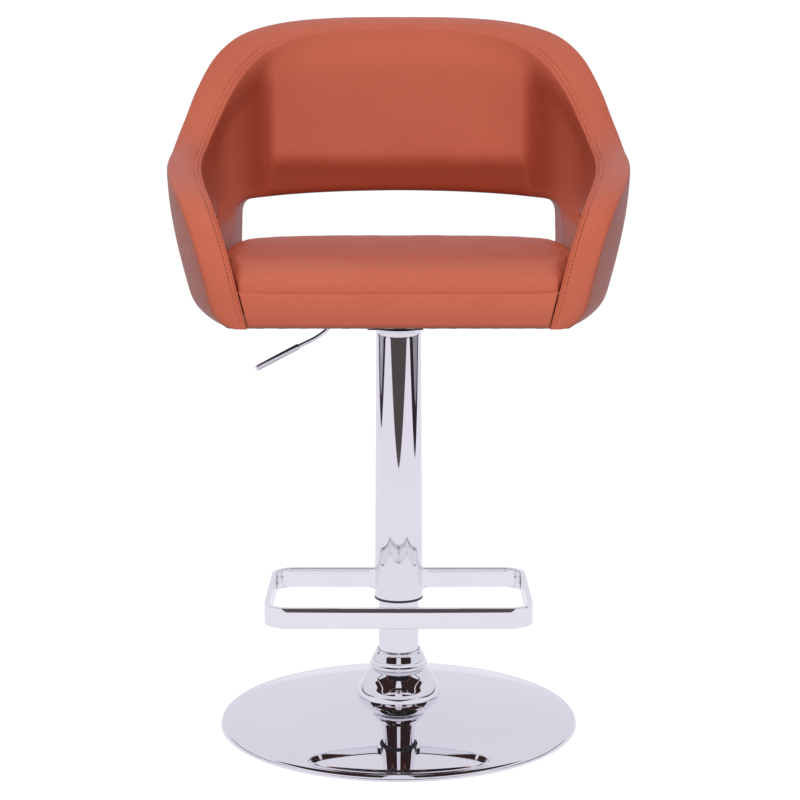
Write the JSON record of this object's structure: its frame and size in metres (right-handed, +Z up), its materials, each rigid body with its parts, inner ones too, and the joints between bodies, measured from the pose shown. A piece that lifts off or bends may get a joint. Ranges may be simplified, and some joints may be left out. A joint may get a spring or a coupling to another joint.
{
  "type": "bar stool",
  "caption": "Height-adjustable swivel bar stool with an upholstered bucket seat, open lower back, lift lever, footrest and round chromed floor base.",
  "frame": {"origin": "on the floor at the column's axis, under the middle of the seat", "axes": "+Z up along the column, the sitter faces -Y, the lift lever is on the -X side"},
  "size_m": [0.556, 0.48, 0.8898],
  "materials": {
    "chrome_base": "mirror-polished chrome plate",
    "chrome_trim": "mirror-polished chrome plate",
    "chrome_tube": "mirror-polished chrome plate",
    "chrome_sleeve": "mirror-polished chrome plate",
    "chrome_bar": "mirror-polished chrome plate",
    "chrome_lever": "mirror-polished chrome plate",
    "ballast_iron": "painted black, rough cast",
    "zinc_steel": "zinc plated",
    "bearing_steel": "ground and polished",
    "black_steel": "black powder coat, satin",
    "black_cylinder": "black enamel, gloss",
    "nylon_bush": "natural nylon",
    "black_plastic": "moulded, satin",
    "buffer_rubber": "matt",
    "plywood": "raw birch plywood",
    "foam": "open-cell polyurethane foam",
    "terracotta_vinyl": "smooth artificial leather with a faint sheen",
    "dust_cloth": "black non-woven cloth"
  },
  "bodies": {
    "base": {"base_cover": "chrome_base", "base_weight": "ballast_iron", "floor_ring": "black_plastic", "bell_cover": "chrome_trim", "collar_ring": "chrome_trim", "outer_tube": "chrome_tube", "column_flange": "zinc_steel", "flange_washers": "zinc_steel", "flange_bolts": "zinc_steel", "tube_end_plate": "zinc_steel", "guide_bush": "nylon_bush", "lower_race": "bearing_steel"},
    "bearing": {"bearing_balls": "bearing_steel", "bearing_cage": "nylon_bush"},
    "rod": {"upper_race": "bearing_steel", "piston_rod": "bearing_steel", "retaining_clip": "zinc_steel", "piston": "zinc_steel", "rubber_buffer": "buffer_rubber"},
    "seat": {"pressure_cylinder": "black_cylinder", "cylinder_end_cap": "zinc_steel", "tapered_hub": "black_steel", "lever_housing": "black_steel", "seat_plate": "black_steel", "lever_pivot_pin": "zinc_steel", "plate_washers": "zinc_steel", "plate_bolts": "zinc_steel", "sleeve_stop_ring": "zinc_steel", "tee_nuts": "zinc_steel", "shell_screws": "zinc_steel", "seat_board": "plywood", "shell_core": "plywood", "shell_foam": "foam", "outer_cover": "terracotta_vinyl", "inner_cover": "terracotta_vinyl", "border_band": "terracotta_vinyl", "window_border": "terracotta_vinyl", "seat_foam": "foam", "seat_top_cover": "terracotta_vinyl", "seat_front_band": "terracotta_vinyl", "dust_cover": "dust_cloth"},
    "valve": {"valve_pin": "bearing_steel"},
    "lever": {"lever_paddle": "zinc_steel", "lever_rod": "chrome_lever", "lever_grip": "chrome_lever"},
    "footrest": {"cover_sleeve": "chrome_sleeve", "sleeve_end_ring": "black_plastic", "sleeve_top_bush": "nylon_bush", "footrest_bar": "chrome_bar"}
  },
  "joints": [
    {"name": "seat_swivel", "type": "hinge", "parent": "base", "child": "rod", "pos_m": [0, 0, 0.04], "axis": [0, 0, 1], "continuous": true},
    {"name": "bearing_roll", "type": "hinge", "parent": "base", "child": "bearing", "pos_m": [0, 0, 0.04], "axis": [0, 0, 1], "continuous": true},
    {"name": "seat_lift", "type": "slide", "parent": "rod", "child": "seat", "axis": [0, 0, 1], "range_m": [0, 0.21]},
    {"name": "lever_pull", "type": "hinge", "parent": "seat", "child": "lever", "pos_m": [-0.026, 0, 0.5138], "axis": [0, 1, 0], "range_deg": [0, 6], "stiffness_Nm_per_rad": 0.5, "springref_deg": -5.73},
    {"name": "valve_press", "type": "slide", "parent": "seat", "child": "valve", "axis": [0, 0, -1], "range_m": [0, 0.0033]},
    {"name": "footrest_swivel", "type": "hinge", "parent": "seat", "child": "footrest", "pos_m": [0, 0, 0.465], "axis": [0, 0, 1], "continuous": true}
  ],
  "couplings": [
    {"joint": "bearing_roll", "follows": "seat_swivel", "ratio": 0.5},
    {"joint": "valve_press", "follows": "lever_pull", "m_per_rad": 0.0292}
  ]
}
